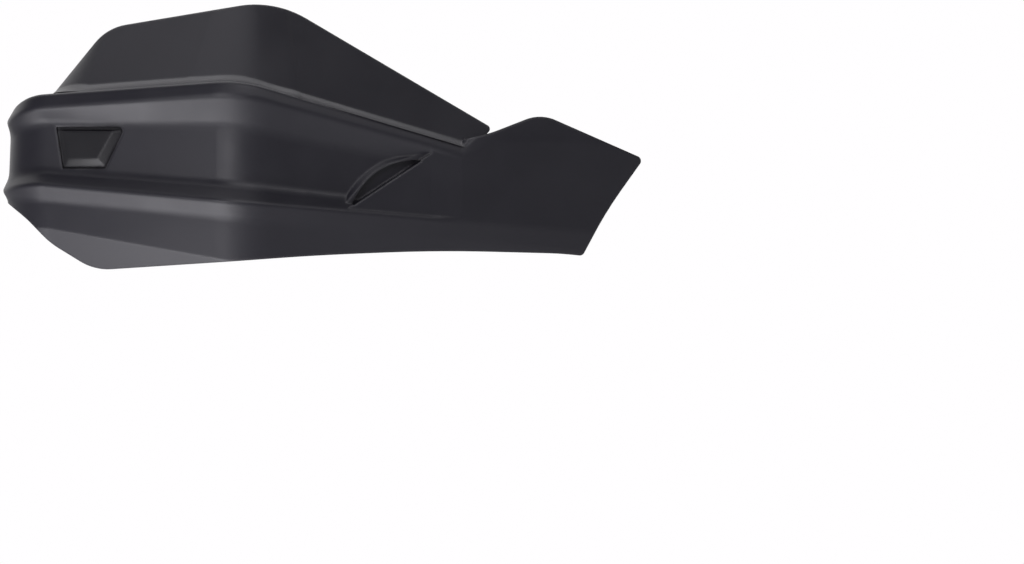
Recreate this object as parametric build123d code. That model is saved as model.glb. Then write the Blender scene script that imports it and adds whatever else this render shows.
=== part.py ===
from build123d import *
from math import atan2, cos, radians, sin, tan
import os

os.makedirs("parts", exist_ok=True)

# Millimetres. X runs inboard from the outboard end, Y runs back from the front of the bend,
# Z runs up from the lowest edge. The finished parts are moved to the mount at the end.
LENGTH = 300
WALL = 3

# Plan of the body, seen from above
BEND_X = 112
OUTBOARD_SWEEP = 24
INBOARD_SWEEP = 12
BEND_RADIUS = 45
BEND_EASE = 14
WRAP_RADIUS = 30
WRAP_X = 1.4
SIDE_DEPTH = 78

# Lines that run along the body, as front view points, from the top down
LINE_START = 18
SLOT_X = 217.5
SHOULDER = [(LINE_START, 81.8), (BEND_X, 88.6), (SLOT_X, 57)]
BROW = [(LINE_START, 75), (BEND_X, 82), (SLOT_X, 52.6)]
FLOOR_TOP = [(LINE_START, 68.8), (BEND_X, 66.6), (SLOT_X, 46)]
CREST = [(LINE_START, 39.6), (161, 27.2)]
KNEE = [(LINE_START, 32), (BEND_X, 22.9), (LENGTH - 27, 7.5)]
FACET = [(LINE_START, 18.8), (101.6, 4.2)]
CHANNEL_STRIP = [(LINE_START, 6.4), (BEND_X, 8), (SLOT_X, 5.5), (LENGTH, 5.5)]
LEDGE_RISE = 0.7
BROW_WRAP_DROP = 6.2
CREST_WRAP_DROP = 3.4

# How far those lines stand out from the plan line, which follows the brow
SHOULDER_OUT = [(LINE_START, -1.6), (BEND_X, -1.5), (SLOT_X, -0.8)]
SHOULDER_WRAP_OUT = -4
CREST_OUT = [(LINE_START, 2), (BEND_X, 1.5), (LENGTH, -4.5)]
KNEE_OUT = [(LINE_START, -2.6), (BEND_X, -2), (LENGTH, -6.5)]
KNEE_WRAP_OUT = -0.4
FLANK_LEAN = [(LINE_START, 6), (BEND_X, 12), (LENGTH, 28)]
FACET_LEAN = 38
CHANNEL_DEPTH = 6
CHANNEL_END_DEPTH = 2.1
CHANNEL_FADED = 0.3
CHANNEL_BLEND = 2.5
EDGE_BLEND = 1.5
MOUTH_STEP = 0.3
SOFT_BLEND = 1.5

# Pointed inboard end of the channel, as front view points
ARROW_TIP = (SLOT_X - 15.5, 54.2)
ARROW_HEEL = (160.3, 26.9)
END_WALL = 4
HOLLOW_ENDS = (0.12, 0.88)
HOLLOW_BOW = 4.5
HOLLOW_DROP = 1.2
HOLLOW_BITE = 0.4
LIP_RISE = 2.2
LIP_BOW = 6.6
LIP_SET = 0.6

# Tail
TAIL_TOP = 84
TAIL_LINE = 60
TAIL_SWING = 14
TAIL_TOP_OUT = -1.5

# Wing
WING_BEND_SETBACK = 9
WING_TIP_SETBACK = 5.5
WING_END_X = 20.4
WING_OUTBOARD_SWEEP = 25.8
WING_WRAP_RADIUS = 36
WING_LEAN = 38
WING_BEND_RADIUS = 90
COVE = 5.8
COVE_BITE = 0.7
WING_HEIGHT = [(WING_END_X, 36.5), (BEND_X, 42), (LENGTH, 42)]

# Mount on the back
MOUNT_X = 140
MOUNT_Y = 33
MOUNT_Z = 50
MOUNT_SPACING = 50
BOSS_DIAMETER = 13
INSERT_DIAMETER = 8.4
INSERT_LENGTH = 10
INSERT_BORE = 5
INSERT_FIT = 0.05
INSERT_END_GAP = 0.5
WEB = 2.5
WEB_DROP = 4
WEB_REACH = 22

# Blank in the channel
BLANK = [(26.8, 65.2), (56.2, 65.2), (56.8, 64), (48.9, 47.6), (29.6, 47.6)]
BLANK_FACE = [(28, 64.5), (52, 64.5), (52.4, 63.9), (44.8, 51.6), (30.4, 51.6)]
BLANK_PROUD = 1.9
BLANK_TILT = 3
BLANK_GAP = 0.7
BLANK_TOP_GAP = 0.6
BLANK_SEAT = 1.2
BLANK_LIP = 1.6
CLIP_X = 39
CLIP_WIDTH = 7
CLIP_THICKNESS = 1.6
CLIP_HOOK = 1.1
CLIP_FIT = 0.2


def along(points, x):
    """Value at x of a line of straight runs, carried on past its ends and eased over its corners."""
    x = max(x, LINE_START)
    (x0, z0), (x1, z1) = points[:2]
    slope = (z1 - z0) / (x1 - x0)
    value = z0 + slope * (x - x0)
    for (x0, z0), (x1, z1) in zip(points[1:], points[2:]):
        change = (z1 - z0) / (x1 - x0) - slope
        past = x - x0
        eased = (past + BEND_EASE) ** 2 / (4 * BEND_EASE) if abs(past) < BEND_EASE else max(past, 0)
        value += change * eased
        slope += change
    return value


def rounded_wire(plane, corners):
    """Closed wire through (x, y, blend) corners on a plane, rounded off by the blend each side."""
    spots = [Vector(x, y) for x, y, blend in corners]
    joints = []
    for i, (x, y, blend) in enumerate(corners):
        here = spots[i]
        back = (spots[i - 1] - here).normalized()
        on = (spots[(i + 1) % len(spots)] - here).normalized()
        if blend == 0:
            joints.append((here, None, here))
            continue
        half_angle = radians(back.get_angle(on) / 2)
        reach = blend / cos(half_angle) - blend * tan(half_angle)
        joints.append((here + back * blend, here + (back + on).normalized() * reach, here + on * blend))
    edges = []
    for i, (start, middle, end) in enumerate(joints):
        following = joints[(i + 1) % len(joints)][0]
        if middle is not None:
            arc = [plane.from_local_coords(spot) for spot in (start, middle, end)]
            edges.append(Edge.make_three_point_arc(*arc))
        edges.append(Edge.make_line(plane.from_local_coords(end), plane.from_local_coords(following)))
    return Wire(edges)


def offset_line(corners, distance):
    """Open line moved to its right by a distance: wide blends stay concentric, narrow ones turn sharp."""
    moved = []
    for i, (x, y, blend) in enumerate(corners):
        here = Vector(x, y)
        before = Vector(*corners[max(i - 1, 0)][:2])
        after = Vector(*corners[min(i + 1, len(corners) - 1)][:2])
        into = (here - before if i > 0 else after - here).normalized()
        out = (after - here if i < len(corners) - 1 else here - before).normalized()
        turn = atan2(into.X * out.Y - into.Y * out.X, into.dot(out))
        slip = distance * tan(turn / 2)
        spot = here + Vector(into.Y, -into.X) * distance + into * slip
        moved.append((spot.X, spot.Y, blend + slip if blend > EDGE_BLEND else 0))
    return moved


def sheet_wire(plane, corners):
    """Closed wire of a wall whose outer line is given."""
    return rounded_wire(plane, corners + offset_line(corners, WALL)[::-1])


def station(edge, share):
    """Section plane on a plan line: local x points out of the guard, local y up."""
    run = edge.tangent_at(share)
    return Plane(origin=edge.position_at(share), x_dir=(run.Y, -run.X, 0), z_dir=-run)


def face_plane(edge, share):
    """Plane lying on a straight run of the body: local x runs inboard, local y up, local z out."""
    run = edge.tangent_at(share)
    return Plane(origin=edge.position_at(share), x_dir=run, z_dir=(run.Y, -run.X, 0))


def swept(path, section, cuts):
    """Solid made of the sections along a plan line: straight runs are ruled, bends are smooth."""
    pieces = []
    for edge, shares in zip(path.edges(), cuts):
        if not shares:
            continue
        wires = [section(station(edge, share)) for share in shares]
        if edge.geom_type == GeomType.CIRCLE:
            pieces.append(Solid.make_loft(wires))
        else:
            pieces += [Solid.make_loft(pair, ruled=True) for pair in zip(wires, wires[1:])]
    return pieces[0].fuse(*pieces[1:])


corner_y = (BEND_X - WRAP_X) * tan(radians(OUTBOARD_SWEEP))
tail_x = LENGTH + 12
tail_y = (tail_x - BEND_X) * tan(radians(INBOARD_SWEEP))
body_path = FilletPolyline(
    (WRAP_X, SIDE_DEPTH + 10),
    (WRAP_X, corner_y),
    (BEND_X, 0),
    (tail_x, tail_y),
    radius=[WRAP_RADIUS, BEND_RADIUS],
)
side_run, wrap_bend, outboard_run, middle_bend, inboard_run = body_path.edges()

wing_corner_y = WING_BEND_SETBACK + (BEND_X - WING_END_X) * tan(radians(WING_OUTBOARD_SWEEP))
wing_tip_x = SLOT_X + 20
wing_tip_y = (wing_tip_x - BEND_X) * tan(radians(INBOARD_SWEEP)) + WING_TIP_SETBACK
wing_path = FilletPolyline(
    (WING_END_X, SIDE_DEPTH + 10),
    (WING_END_X, wing_corner_y),
    (BEND_X, WING_BEND_SETBACK),
    (wing_tip_x, wing_tip_y),
    radius=[WING_WRAP_RADIUS, WING_BEND_RADIUS],
)


def inboard_share(x):
    """Share of the inboard run at which it reaches x."""
    start = inboard_run.position_at(0).X
    return (x - start) / (inboard_run.position_at(1).X - start)


def outboard_share(x):
    """Share of the outboard run at which it reaches x."""
    start = outboard_run.position_at(0).X
    return (x - start) / (outboard_run.position_at(1).X - start)


def wrapped(plane):
    """How far a station has turned round the outboard end, eased from 0 on the front to 1 on the side."""
    turned = atan2(-plane.x_dir.X, -plane.x_dir.Y) - radians(OUTBOARD_SWEEP)
    share = min(max(turned / radians(90 - OUTBOARD_SWEEP), 0), 1)
    return share * share * (3 - 2 * share)


def ledge_reach(plane):
    """Distance from the body's plan line in to the wing's plan line."""
    ray = Edge.make_line(plane.origin, plane.origin - plane.x_dir * 60)
    near, far = ray.closest_points(wing_path)
    return (near - plane.origin).length


def abreast(plane):
    """Station of the body abreast of a station of the wing."""
    near, far = Vertex(plane.origin).closest_points(body_path)
    out = (far - near).normalized()
    return Plane(origin=far, x_dir=out, z_dir=(out.Y, -out.X, 0))


def ledge_height(plane):
    """Height of the ledge where it meets the wing, at a station of the body."""
    return along(SHOULDER, plane.origin.X) - BROW_WRAP_DROP * wrapped(plane) + LEDGE_RISE


def into_tail(plane, before, after):
    """Value that changes over from the body to the tail past the slot."""
    swung = min(max((plane.origin.X - SLOT_X) / TAIL_SWING, 0), 1)
    return before * (1 - swung) + after * swung


def channel_corners(plane):
    """Brow, floor top, floor bottom and crest of the channel in a section."""
    x = plane.origin.X
    turned = wrapped(plane)
    faded = min(max((x - ARROW_TIP[0]) / (SLOT_X - 1 - ARROW_TIP[0]), 0), 1)
    depth = CHANNEL_DEPTH
    depth += (CHANNEL_END_DEPTH - CHANNEL_DEPTH) * turned
    depth += (CHANNEL_FADED - CHANNEL_DEPTH) * faded
    drop = BROW_WRAP_DROP * turned
    brow = into_tail(plane, along(BROW, x) - drop, TAIL_LINE)
    top = along(FLOOR_TOP, x) - drop
    crest = along(CREST, x) - CREST_WRAP_DROP * turned
    floor = crest + along(CHANNEL_STRIP, x)
    crest_out = along(CREST_OUT, x)
    lean = (1 - depth / CHANNEL_DEPTH) * crest_out / (brow - crest)
    return [
        (0, brow, EDGE_BLEND),
        ((brow - top) * lean - depth, top, CHANNEL_BLEND),
        ((brow - floor) * lean - depth, floor, CHANNEL_BLEND),
        (crest_out, crest, EDGE_BLEND),
    ]


def body_section(plane):
    """Wall of the body, with the channel pressed into its front."""
    x = plane.origin.X
    turned = wrapped(plane)
    ledge = -ledge_reach(plane) - WALL / 2
    shoulder = along(SHOULDER, x) - BROW_WRAP_DROP * turned
    shoulder_out = along(SHOULDER_OUT, x) * (1 - turned) + SHOULDER_WRAP_OUT * turned
    knee = along(KNEE, x)
    knee_out = along(KNEE_OUT, x) * (1 - turned) + KNEE_WRAP_OUT * turned
    facet = along(FACET, x)
    facet_out = knee_out - (knee - facet) * tan(radians(along(FLANK_LEAN, x)))
    low = facet - 20
    low_out = facet_out - (facet - low) * tan(radians(FACET_LEAN))
    top_out = into_tail(plane, ledge, TAIL_TOP_OUT)
    top = into_tail(plane, ledge_height(plane), TAIL_TOP)
    shoulder_out = into_tail(plane, shoulder_out, TAIL_TOP_OUT * 0.4)
    corners = [
        (top_out, top, 0),
        (shoulder_out, into_tail(plane, shoulder, (TAIL_LINE + TAIL_TOP) / 2), EDGE_BLEND),
        *channel_corners(plane),
        (knee_out, knee, SOFT_BLEND),
        (facet_out, facet, 0),
        (low_out, low, 0),
    ]
    return sheet_wire(plane, corners)


def wing_section(plane):
    ledge = ledge_height(abreast(plane))
    height = along(WING_HEIGHT, plane.origin.X)
    lean = tan(radians(WING_LEAN))
    corners = [(-height * lean, ledge + height, 0), (WALL / 2 * lean, ledge - WALL / 2, 0)]
    return sheet_wire(plane, corners)


def cove_section(plane):
    """Fillet in the angle between the wing and the ledge."""
    ledge = ledge_height(abreast(plane))
    lean = radians(WING_LEAN)
    high = Vector(-sin(lean), cos(lean)) * COVE
    spots = [Vector(COVE, -COVE_BITE), (high + Vector(COVE, 0)) * 0.22, high + Vector(-COVE_BITE, 0)]
    spots = [plane.from_local_coords(spot + Vector(0, ledge)) for spot in spots]
    curve = Edge.make_three_point_arc(*spots)
    root = plane.from_local_coords((-WALL / 2, ledge - WALL / 2))
    return Wire([curve, Edge.make_line(curve @ 1, root), Edge.make_line(root, curve @ 0)])


behind_depth = MOUNT_Y + WALL + 2


def behind_wire(plane):
    """Section of the space behind the middle of the channel's wall."""
    line = [(x, z, 0) for x, z, blend in offset_line(channel_corners(plane), WALL / 2)]
    return rounded_wire(plane, line + [(-behind_depth, line[-1][1], 0), (-behind_depth, line[0][1], 0)])


def mouth_line(line):
    """Points on the upper and lower slopes of a channel line, just inside its brow and crest."""
    brow, top, floor, crest = [Vector(x, z) for x, z, blend in line]
    inside = EDGE_BLEND + MOUTH_STEP
    return brow + (top - brow).normalized() * inside, crest + (floor - crest).normalized() * inside


def fill_wire(plane):
    """Section of the channel filled from its mouth to the middle of its wall."""
    line = channel_corners(plane)
    inner = offset_line(line, WALL / 2)
    high, low = mouth_line(line)
    inner_high, inner_low = mouth_line(inner)
    spots = [high, inner_high, Vector(*inner[1][:2]), Vector(*inner[2][:2]), inner_low, low]
    return rounded_wire(plane, [(spot.X, spot.Y, 0) for spot in spots])


def pocket_wire(plane):
    """Section of the space behind a wall that runs straight across the channel's mouth."""
    high, low = mouth_line(channel_corners(plane))
    line = offset_line([(high.X, high.Y, 0), (low.X, low.Y, 0)], WALL)
    return rounded_wire(plane, line + [(-behind_depth, line[1][1], 0), (-behind_depth, line[0][1], 0)])


def front_plate(corners, depth=3 * SIDE_DEPTH):
    """Plate standing across Y, with a front view outline of (x, z, blend) corners."""
    plane = Plane(origin=(0, -depth / 2, 0), x_dir=(1, 0, 0), z_dir=(0, -1, 0))
    return extrude(Face(rounded_wire(plane, corners)), depth, dir=(0, 1, 0))


BEND_CUTS = [0, 0.25, 0.5, 0.75, 1]
THIRDS = [0, 1 / 3, 2 / 3, 1]
HALVES = [0, 0.5, 1]
SIXTHS = [0, 1 / 6, 1 / 3, 0.5, 2 / 3, 5 / 6, 1]
fade_share = inboard_share(ARROW_TIP[0])
slot_share = inboard_share(SLOT_X - 1)
tail_shares = [inboard_share(SLOT_X + TAIL_SWING / 2), inboard_share(SLOT_X + TAIL_SWING), 1]
to_slot = [0, fade_share, slot_share]
body = swept(body_path, body_section, [[0, 1], THIRDS, [0, 1], THIRDS, to_slot + tail_shares])
wing = swept(wing_path, wing_section, [[0, 1], HALVES, [0, 1], SIXTHS, [0, 1]])
cove = swept(wing_path, cove_section, [[], HALVES, [0, 1], SIXTHS, [0, 1]])
behind = swept(body_path, behind_wire, [[], [], [0.5, 1], BEND_CUTS, to_slot])
fill = swept(body_path, fill_wire, [[], [], [], [], to_slot + tail_shares])
pocket = swept(body_path, pocket_wire, [[], [], [], [], [0, fade_share]])

# Pointed end of the channel, closed by a wall that runs on into the tail
arrow_plane = face_plane(inboard_run, inboard_share(ARROW_HEEL[0]))
arrow_run = (ARROW_TIP[0] - ARROW_HEEL[0]) / cos(radians(INBOARD_SWEEP))
arrow_rise = ARROW_TIP[1] - ARROW_HEEL[1]


def arrow_spot(out, share, aside):
    """Point a share of the way along the channel's end and aside of it, at a distance out from the body."""
    place = arrow_plane.offset(out)
    return place.from_local_coords((arrow_run * share - aside, ARROW_HEEL[1] + arrow_rise * share + aside))


def bowed_wire(out, ends, bow, edge, back):
    """Lens beside the channel's end: a bowed front from edge to edge, closed by a straight back."""
    first, last = ends
    curve = Edge.make_three_point_arc(
        arrow_spot(out, first, edge), arrow_spot(out, 0.5, bow), arrow_spot(out, last, edge))
    corners = [curve @ 1, arrow_spot(out, last, back), arrow_spot(out, first, back), curve @ 0]
    return Wire([curve] + [Edge.make_line(*pair) for pair in zip(corners, corners[1:])])


arrow_depth = 4 * CHANNEL_DEPTH
floor_out = -CHANNEL_DEPTH
beyond_spots = [(0, 0), (1, 1), (1, 3), (5, 3), (5, -2), (0, -2)]
beyond_corners = [
    arrow_plane.offset(-arrow_depth).from_local_coords((arrow_run * run, ARROW_HEEL[1] + arrow_rise * rise))
    for run, rise in beyond_spots
]
beyond = extrude(Face(Wire.make_polygon(beyond_corners)), 2 * arrow_depth, dir=arrow_plane.z_dir)

# Raised lip on the channel's floor, and the crescent hollow between it and that wall
lip_top = 1.2 * LIP_RISE
lip_slope = (LIP_BOW - HOLLOW_BOW) / LIP_RISE
lip = Solid.make_loft(
    [
        bowed_wire(floor_out + lip_top, (0, 1), LIP_BOW - lip_slope * lip_top, LIP_SET, -WALL),
        bowed_wire(floor_out - 1, (0, 1), LIP_BOW + lip_slope, LIP_SET, -WALL),
    ],
    ruled=True,
)
hollow_wire = bowed_wire(floor_out - HOLLOW_DROP, HOLLOW_ENDS, HOLLOW_BOW, 0, -HOLLOW_BITE)
hollow = extrude(Face(hollow_wire), arrow_depth, dir=arrow_plane.z_dir)
body = body + (fill & beyond) + (fill & lip) - (fill & hollow)
body -= pocket & beyond.moved(Location(arrow_plane.x_dir * END_WALL))

body_outline = front_plate([
    (-30, 120, 0),
    (SLOT_X, 120, 0),
    (SLOT_X, 60.6, 0),
    (SLOT_X + 12.9, 63.9, 3),
    (SLOT_X + 35.8, 72.8, 7.5),
    (LENGTH + 2, 51.5, 3),
    (LENGTH - 15.5, 27, 12),
    (LENGTH - 26.8, 5.8, 1.5),
    (LENGTH - 38, 6.9, 5),
    (LENGTH - 95, 8.5, 25),
    (LENGTH - 153, 6.3, 20),
    (43.3, -1.1, 8),
    (22.4, 11.7, 5),
    (11.4, 23.1, 4),
    (1.2, 31.1, 2),
    (-30, 32.5, 0),
])
wing_outline = front_plate([
    (-30, 50, 0),
    (0, 60, 0),
    (23.7, 82.2, 0),
    (49, 113.4, 9),
    (128.4, 126.3, 17),
    (SLOT_X + 13.2, 66, 2.5),
    (SLOT_X + 9, 61.6, 2),
    (SLOT_X + 0.5, 59.4, 0),
    (SLOT_X + 0.5, 50, 0),
])
FROM_FRONT = (Align.CENTER, Align.MIN, Align.CENTER)
back_cut = Pos(0, SIDE_DEPTH, 0) * Box(3 * LENGTH, SIDE_DEPTH, LENGTH, align=FROM_FRONT)

# Bosses with webs, cut to the middle of the channel's wall
back_plane = Plane(origin=(MOUNT_X, MOUNT_Y, MOUNT_Z), x_dir=(1, 0, 0), z_dir=(0, -1, 0))
FROM_BACK = (Align.CENTER, Align.CENTER, Align.MIN)
boss_places = [back_plane * Pos(side * MOUNT_SPACING / 2, 0, 0) for side in (-1, 1)]
boss_length = MOUNT_Y + 20
bosses = [place * Cylinder(BOSS_DIAMETER / 2, boss_length, align=FROM_BACK) for place in boss_places]
gusset = Polygon((-WEB_REACH, boss_length), (0, WEB_DROP), (WEB_REACH, boss_length), align=None)
bosses += [place * Plane.YZ * extrude(gusset, WEB / 2, both=True) for place in boss_places]
bosses.append(back_plane * Pos(0, 0, WEB_DROP) * Box(MOUNT_SPACING, WEB, boss_length, align=FROM_BACK))
bosses = bosses[0].fuse(*bosses[1:]) & behind
bore = Cylinder(INSERT_DIAMETER / 2 + INSERT_FIT, INSERT_LENGTH + INSERT_END_GAP, align=FROM_BACK)
bores = [place * bore for place in boss_places]

# Seat of the blank
blank_x = (BLANK[0][0] + BLANK[2][0]) / 2
blank_plane = face_plane(outboard_run, outboard_share(blank_x)).offset(-CHANNEL_DEPTH)


def blank_outline(points, grow, height, tilt=0):
    """Outline of the blank, grown by a distance, at a height and tilt over the channel's floor."""
    place = blank_plane.offset(height)
    spots = [((x - place.origin.X) / cos(radians(OUTBOARD_SWEEP)), z) for x, z in points]
    face = offset(make_face(Polyline(*spots, close=True)), grow, kind=Kind.INTERSECTION)
    return place * Rot(0, -tilt, 0) * face


seat = BLANK_SEAT - WALL
out = blank_plane.z_dir
opening = extrude(blank_outline(BLANK, BLANK_GAP, seat), 2 * WALL, dir=out)
opening += Pos(0, 0, BLANK_TOP_GAP) * opening
opening += extrude(blank_outline(BLANK, -BLANK_LIP, -2 * WALL), 3 * WALL, dir=out)

wing = (wing + cove) & wing_outline
shell = (body & body_outline) + wing + bosses - back_cut - bores - opening

# Blank with two clips behind its seat
blank = extrude(blank_outline(BLANK, 0, seat), -seat, dir=out)
blank += loft([blank_outline(BLANK, 0, 0), blank_outline(BLANK_FACE, 0, BLANK_PROUD, BLANK_TILT)])
blank_high = max(z for x, z in BLANK) - BLANK_LIP - CLIP_FIT
blank_low = min(z for x, z in BLANK) + BLANK_LIP + CLIP_FIT
hook_top = -WALL - CLIP_FIT
for edge_z, way in ((blank_high, 1), (blank_low, -1)):
    leg = Polygon(
        (seat, 0),
        (hook_top, 0),
        (hook_top, CLIP_HOOK),
        (hook_top - 2 * CLIP_HOOK, -CLIP_THICKNESS / 2),
        (hook_top - 2 * CLIP_HOOK, -CLIP_THICKNESS),
        (seat, -CLIP_THICKNESS),
        align=None,
    )
    leg = extrude(leg, CLIP_WIDTH / 2, both=True)
    foot = blank_plane.from_local_coords((CLIP_X - blank_plane.origin.X, edge_z, 0))
    side = Plane(origin=foot, x_dir=out, z_dir=blank_plane.x_dir * -way)
    blank += side * leg

# Inserts
insert = Cylinder(INSERT_DIAMETER / 2, INSERT_LENGTH, align=FROM_BACK)
insert -= Cylinder(INSERT_BORE / 2, INSERT_LENGTH, align=FROM_BACK)
inserts = Compound([place * insert for place in boss_places])

to_mount = Pos(-MOUNT_X, -MOUNT_Y, -MOUNT_Z)
export_step(to_mount * shell, "parts/guard_shell.step")
export_step(to_mount * blank, "parts/accessory_blank.step")
export_step(to_mount * inserts, "parts/threaded_inserts.step")
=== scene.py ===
import bpy
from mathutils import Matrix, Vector

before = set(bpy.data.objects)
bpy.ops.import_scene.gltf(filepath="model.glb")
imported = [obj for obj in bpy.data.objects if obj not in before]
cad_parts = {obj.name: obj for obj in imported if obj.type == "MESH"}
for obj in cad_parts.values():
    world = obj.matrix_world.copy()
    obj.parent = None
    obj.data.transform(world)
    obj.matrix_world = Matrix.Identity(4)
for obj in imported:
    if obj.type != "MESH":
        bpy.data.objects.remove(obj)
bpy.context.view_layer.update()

# Camera: the guard sits up and left of the middle of the picture, seen square on from the front
LENS_MM = 400
SENSOR_MM = 36
VIEW_REACH = 50
IMAGE_WIDTH_PX = 1024
GUARD_LENGTH = 0.300
GUARD_LENGTH_PX = 638
GUARD_MIDDLE = Vector((0.010, 0.0, 0.012))
PICTURE_OFFSET_PX = (191, -145.5)

# White floor below the guard
FLOOR_Z = -0.62
FLOOR_WIDTH = 12.0
FLOOR_WHITE = (0.85, 0.85, 0.85, 1)
FLOOR_ROUGHNESS = 0.9
GLOW_WHITE = (1, 1, 1, 1)
FLOOR_GLOW = 0.1

# Room: grey in front and at the sides, white behind, with a fade over a span of the direction's Y
ROOM_TINT = (1, 0.99, 1, 1)
ROOM_GREY = 0.2
ROOM_WHITE = 1.0
ROOM_FADE = (0.15, 0.6)

# Colour of the soft lights
LIGHT_TINT = (1, 0.985, 1.03)

# Noise: scale per metre and detail, and the span of its values that is put to use
CLOUD_NOISE = (22, 5)
ROUGH_NOISE = (45, 6)
RUB_AND_HIGHLIGHT_NOISE = (90, 4)
GRAIN_NOISE = (2600, 2)
TARNISH_NOISE = (260, 5)
SCRATCH_NOISE = (700, 4)
NOISE_SPAN = (0.3, 0.7)

# Plastic: edges softened over a radius, and painted lighter (partly rubbed wear, partly painted edge
# highlight) as the cosine of their turn falls through a span
EDGE_RADIUS = 0.0018
EDGE_SAMPLES = 6
EDGE_TURN = (0.975, 0.84)
RUB_AND_HIGHLIGHT_LEAST = 0.3
RUB_AND_HIGHLIGHT_SPAN = (0.4, 0.65)
GRAIN_DEPTH = 0.00012

# Brass
BRASS_TARNISHED = (0.50, 0.34, 0.13, 1)
BRASS_BRIGHT = (0.66, 0.47, 0.20, 1)
BRASS_ROUGHNESS = (0.24, 0.42)

# Colour sockets of the Mix node, by number, because other sockets share their names
MIX_INPUTS = (0, 6, 7)
MIX_RESULT = 2


def place_and_aim(thing, place, aim):
    thing.location = place
    thing.rotation_euler = (Vector(aim) - Vector(place)).to_track_quat("-Z", "Y").to_euler()


def camera():
    metres_per_px = GUARD_LENGTH / GUARD_LENGTH_PX
    distance = IMAGE_WIDTH_PX * LENS_MM / SENSOR_MM * metres_per_px
    data = bpy.data.cameras.new("camera")
    data.lens = LENS_MM
    data.sensor_width = SENSOR_MM
    data.clip_end = VIEW_REACH
    cam = bpy.data.objects.new("camera", data)
    bpy.context.collection.objects.link(cam)
    across, up = (offset * metres_per_px for offset in PICTURE_OFFSET_PX)
    place_and_aim(cam, GUARD_MIDDLE + Vector((0, -distance, 0)), GUARD_MIDDLE + Vector((across, 0, up)))
    bpy.context.scene.camera = cam


class Shading:
    """Nodes of a material or a world, each linked to what feeds it."""

    def __init__(self, owner, shader="Principled BSDF"):
        owner.use_nodes = True
        self.owner = owner
        self.tree = owner.node_tree
        self.shader = self.tree.nodes[shader]

    def add(self, kind, settings=None, **inputs):
        node = self.tree.nodes.new(kind)
        for key, value in (settings or {}).items():
            setattr(node, key, value)
        self.fill(node, **inputs)
        return node

    def fill(self, node, **inputs):
        for key, value in inputs.items():
            self.feed(node.inputs[key.replace("_", " ")], value)

    def feed(self, socket, value):
        if isinstance(value, bpy.types.NodeSocket):
            self.tree.links.new(value, socket)
        else:
            socket.default_value = value

    def noise(self, scale, detail):
        place = self.add("ShaderNodeTexCoord").outputs["Object"]
        return self.add("ShaderNodeTexNoise", Vector=place, Scale=scale, Detail=detail).outputs["Fac"]

    def spread(self, value, low, high, span=NOISE_SPAN, curve="LINEAR"):
        """The value, with its span stretched to run from low to high."""
        start, end = span
        node = self.add("ShaderNodeMapRange", {"interpolation_type": curve}, Value=value)
        self.fill(node, From_Min=start, From_Max=end, To_Min=low, To_Max=high)
        return node.outputs["Result"]

    def combined(self, kind, operation, first, second):
        node = self.add(kind, {"operation": operation})
        self.feed(node.inputs[0], first)
        self.feed(node.inputs[1], second)
        return node.outputs["Value"]

    def mixed(self, share, first, second):
        node = self.add("ShaderNodeMix", {"data_type": "RGBA"})
        for index, value in zip(MIX_INPUTS, (share, first, second)):
            self.feed(node.inputs[index], value)
        return node.outputs[MIX_RESULT]


def stage():
    """Plain white floor."""
    half = FLOOR_WIDTH / 2
    corners = [(x, y, FLOOR_Z) for x, y in ((-half, -half), (half, -half), (half, half), (-half, half))]
    mesh = bpy.data.meshes.new("floor")
    mesh.from_pydata(corners, [], [(0, 1, 2, 3)])
    floor = bpy.data.objects.new("floor", mesh)
    bpy.context.collection.objects.link(floor)
    paper = Shading(bpy.data.materials.new("white_paper"))
    paper.fill(paper.shader, Base_Color=FLOOR_WHITE, Roughness=FLOOR_ROUGHNESS)
    paper.fill(paper.shader, Emission_Color=GLOW_WHITE, Emission_Strength=FLOOR_GLOW)
    mesh.materials.append(paper.owner)


def area_light(name, place, aim, size, watts):
    data = bpy.data.lights.new(name, "AREA")
    data.shape = "RECTANGLE"
    data.size, data.size_y = size
    data.energy = watts
    data.color = LIGHT_TINT
    light = bpy.data.objects.new(name, data)
    bpy.context.collection.objects.link(light)
    light.visible_camera = False
    place_and_aim(light, place, aim)


def lights():
    area_light("low_left", place=(-0.28, -0.20, -0.36), aim=(-0.05, 0, 0.01), size=(0.3, 0.3), watts=1.32)
    area_light("below", place=(-0.26, 0.02, -0.50), aim=(-0.05, 0, 0), size=(0.40, 0.30), watts=0.55)
    area_light("top_back", place=(-0.1, 0.5, 1.0), aim=(0, 0, 0.03), size=(1.0, 0.6), watts=2.3)
    area_light("overhead", place=(-0.2, -0.2, 0.9), aim=(0, 0, 0.04), size=(0.9, 0.6), watts=1.3)
    area_light("front_left", place=(-0.30, -0.43, 0.0), aim=(-0.03, 0, 0.01), size=(0.2, 0.25), watts=0.54)
    area_light("front_high", place=(-0.10, -0.80, 0.62), aim=(0.02, 0, 0.03), size=(0.5, 0.4), watts=1.6)
    area_light("right_high", place=(0.36, -0.62, 0.46), aim=(0.08, 0, 0.02), size=(0.4, 0.3), watts=0.62)


def room():
    """Light of the room: white behind the guard, fading to grey at the sides and in front."""
    shading = Shading(bpy.data.worlds.new("room"), "Background")
    direction = shading.add("ShaderNodeTexCoord").outputs["Generated"]
    backward = shading.add("ShaderNodeSeparateXYZ", Vector=direction).outputs["Y"]
    strength = shading.spread(backward, ROOM_GREY, ROOM_WHITE, ROOM_FADE, "SMOOTHSTEP")
    shading.fill(shading.shader, Color=ROOM_TINT, Strength=strength)
    bpy.context.scene.world = shading.owner


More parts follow.
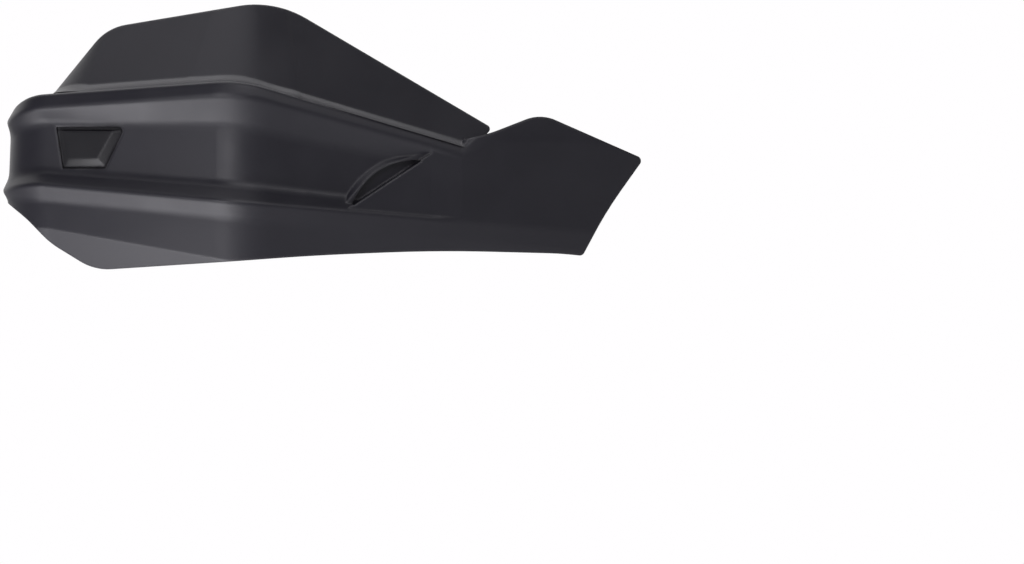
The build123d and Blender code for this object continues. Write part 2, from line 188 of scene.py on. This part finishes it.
def plastic(name, dark, light, worn_and_highlit, roughness, grain):
    """Satin black moulded plastic: fine grain, cloudy gloss, and edges painted lighter, partly as rubbed
    wear and partly as painted highlight.
    """
    shading = Shading(bpy.data.materials.new(name))
    soft = shading.add("ShaderNodeBevel", {"samples": EDGE_SAMPLES}, Radius=EDGE_RADIUS).outputs["Normal"]
    facing = shading.add("ShaderNodeNewGeometry").outputs["Normal"]
    turn = shading.combined("ShaderNodeVectorMath", "DOT_PRODUCT", soft, facing)
    edge = shading.spread(turn, 0, 1, EDGE_TURN)
    patchy = shading.spread(shading.noise(*RUB_AND_HIGHLIGHT_NOISE), RUB_AND_HIGHLIGHT_LEAST, 1, RUB_AND_HIGHLIGHT_SPAN)
    rubbed_and_highlit = shading.combined("ShaderNodeMath", "MULTIPLY", edge, patchy)
    cloud = shading.spread(shading.noise(*CLOUD_NOISE), 0, 1)
    # Edges painted in the lighter colour where the edge mask falls: partly rubbed wear, partly painted
    # highlight
    colour = shading.mixed(rubbed_and_highlit, shading.mixed(cloud, dark, light), worn_and_highlit)
    rough = shading.spread(shading.noise(*ROUGH_NOISE), *roughness)
    bumpy = shading.add("ShaderNodeBump", Strength=grain, Distance=GRAIN_DEPTH,
                        Height=shading.noise(*GRAIN_NOISE), Normal=soft).outputs["Normal"]
    shading.fill(shading.shader, Base_Color=colour, Roughness=rough, Normal=bumpy)
    return shading.owner


def brass():
    """Turned brass with fine scratches and a little tarnish."""
    shading = Shading(bpy.data.materials.new("turned_brass"))
    polish = shading.spread(shading.noise(*TARNISH_NOISE), 0, 1)
    colour = shading.mixed(polish, BRASS_TARNISHED, BRASS_BRIGHT)
    scratched = shading.spread(shading.noise(*SCRATCH_NOISE), *BRASS_ROUGHNESS)
    shading.fill(shading.shader, Base_Color=colour, Metallic=1, Roughness=scratched)
    return shading.owner


def dress(node, material):
    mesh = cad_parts[node].data
    mesh.materials.clear()
    mesh.materials.append(material)


camera()
stage()
lights()
room()
# The lighter edge colours are partly rubbed wear and partly painted highlight along the rims
shell_black = plastic("shell_plastic", dark=(0.0086, 0.0080, 0.0138, 1), light=(0.0114, 0.0108, 0.0170, 1),
                      worn_and_highlit=(0.065, 0.064, 0.070, 1), roughness=(0.36, 0.45), grain=0.12)
blank_black = plastic("blank_plastic", dark=(0.0044, 0.0041, 0.0066, 1), light=(0.0058, 0.0055, 0.0082, 1),
                      worn_and_highlit=(0.040, 0.039, 0.044, 1), roughness=(0.32, 0.40), grain=0.08)
dress("guard_shell", shell_black)
dress("accessory_blank", blank_black)
dress("threaded_inserts", brass())
bpy.context.scene.view_settings.view_transform = "Standard"
